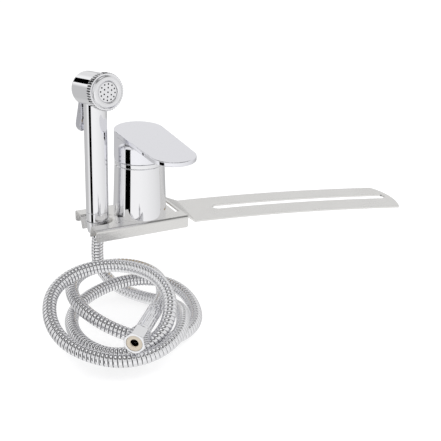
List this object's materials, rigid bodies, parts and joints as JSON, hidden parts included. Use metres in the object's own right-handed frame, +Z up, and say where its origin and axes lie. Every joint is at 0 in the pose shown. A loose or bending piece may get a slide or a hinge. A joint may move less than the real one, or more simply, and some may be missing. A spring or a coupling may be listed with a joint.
{
  "type": "bidet shower mixer",
  "caption": "Single lever mixer on a bent steel toilet-seat bracket, with a trigger hand shower in an open collar and its coiled ribbed metal hose.",
  "frame": {"origin": "underside of the bracket's arm, 8 mm towards the mixer from the inner end of its long slot, where the arm rests when clamped", "axes": "+X along the arm away from the mixer, -Y the way the lever points, +Z up along the mixer's axis"},
  "size_m": [0.408, 0.2136, 0.2275],
  "materials": {
    "stainless": "polished stainless sheet",
    "chrome": "polished chrome plate on brass",
    "chrome_zinc": "polished chrome plate on cast zinc",
    "steel": "zinc plated steel",
    "brass": "turned brass",
    "ceramic": "lapped alumina ceramic",
    "plastic_white": "moulded acetal",
    "plastic_grey": "moulded grey plastic",
    "rubber_black": "black rubber",
    "washer_cream": "cream sealing washer",
    "hose_metal": "polished stainless strip, interlocked, over a rubber tube"
  },
  "bodies": {
    "stand": {"mounting_bracket": "stainless", "base_gasket": "rubber_black", "mixer_body": "chrome", "rubber_washer": "rubber_black", "steel_washer": "steel", "clamping_nut": "brass", "outlet_nipple": "brass", "cartridge_housing": "plastic_white", "fixed_disc": "ceramic", "cartridge_nut": "brass", "cover_ring": "chrome"},
    "swivel": {"rotor": "plastic_white", "spindle_pin": "steel"},
    "disc_carrier": {"moving_disc": "ceramic"},
    "lever": {"spindle": "brass", "lever_handle": "chrome_zinc", "lever_grub_screw": "steel", "lever_plug": "plastic_grey"},
    "hand_shower": {"handset_body": "chrome", "knurled_ring": "chrome", "face_ring": "chrome", "spray_plate": "chrome", "spray_seal": "rubber_black", "inner_tube": "plastic_white", "valve_body": "plastic_white", "valve_spring": "steel", "plunger_gland": "brass", "trigger_pin": "steel", "handset_sleeve": "chrome", "hose_cone_nut": "chrome", "hose_ferrule": "chrome", "hose_washer": "rubber_black", "hose_drop": "hose_metal", "hose_coil": "hose_metal", "hose_end_sleeve": "chrome", "hose_end_ferrule": "chrome", "hose_end_washer": "washer_cream"},
    "trigger_lever": {"trigger": "chrome_zinc"},
    "plunger": {"valve_plunger": "steel", "valve_seal": "rubber_black"},
    "end_nut": {"hose_end_nut": "chrome"}
  },
  "joints": [
    {"name": "lever_swivel", "type": "hinge", "parent": "stand", "child": "swivel", "pos_m": [-0.072, 0.005, 0.074], "axis": [0, 0, 1], "range_deg": [-35, 50]},
    {"name": "lever_tilt", "type": "hinge", "parent": "swivel", "child": "lever", "pos_m": [-0.072, 0.005, 0.074], "axis": [-1, 0, 0], "range_deg": [0, 25]},
    {"name": "disc_slide", "type": "slide", "parent": "swivel", "child": "disc_carrier", "axis": [0, -1, 0], "range_m": [0, 0.00507]},
    {"name": "hand_shower_lift", "type": "slide", "parent": "stand", "child": "hand_shower", "axis": [0, 0, 1], "range_m": [0, 0.015]},
    {"name": "trigger_press", "type": "hinge", "parent": "hand_shower", "child": "trigger_lever", "pos_m": [-0.11922, 0.01983, 0.114], "axis": [-0.989, -0.1478, 0], "range_deg": [0, 15], "stiffness_Nm_per_rad": 1, "springref_deg": -5.73},
    {"name": "plunger_slide", "type": "slide", "parent": "hand_shower", "child": "plunger", "axis": [0.1478, -0.989, 0], "range_m": [0, 0.0026], "deforming": ["valve_spring"]},
    {"name": "end_nut_spin", "type": "hinge", "parent": "hand_shower", "child": "end_nut", "pos_m": [-0.14617, -0.16334, -0.03181], "axis": [-0.6489, -0.7608, 0.0075], "continuous": true}
  ],
  "couplings": [
    {"joint": "disc_slide", "follows": "lever_tilt", "m_per_rad": 0.01162},
    {"joint": "plunger_slide", "follows": "trigger_press", "m_per_rad": 0.009931}
  ]
}
